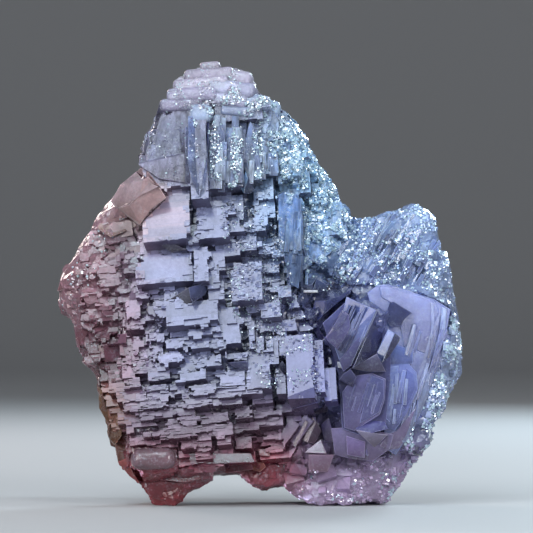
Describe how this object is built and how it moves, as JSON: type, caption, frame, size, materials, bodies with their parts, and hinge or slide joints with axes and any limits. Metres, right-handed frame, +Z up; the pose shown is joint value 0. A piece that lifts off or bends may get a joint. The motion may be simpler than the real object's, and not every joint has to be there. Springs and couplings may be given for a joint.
{
  "type": "fluorite specimen",
  "caption": "Intergrown fluorite crystal specimen: a face of stepped cubes, a fluted peak, a side lobe of larger cubes, and rough feet it stands on.",
  "frame": {"origin": "centre of the bounding box, on the plane the specimen rests on", "axes": "+Z up, -Y towards the viewer of the stepped face, +X towards the lobe of larger cubes on the viewer's right"},
  "size_m": [0.0888, 0.0439, 0.097],
  "materials": {
    "fluorite": "lilac-grey to blue-violet, glossy on the flat crystal faces, frosted with fine crystals on the right slope, pink-brown and glassy where broken"
  },
  "bodies": {
    "root": {"fluorite": "fluorite"}
  },
  "joints": []
}
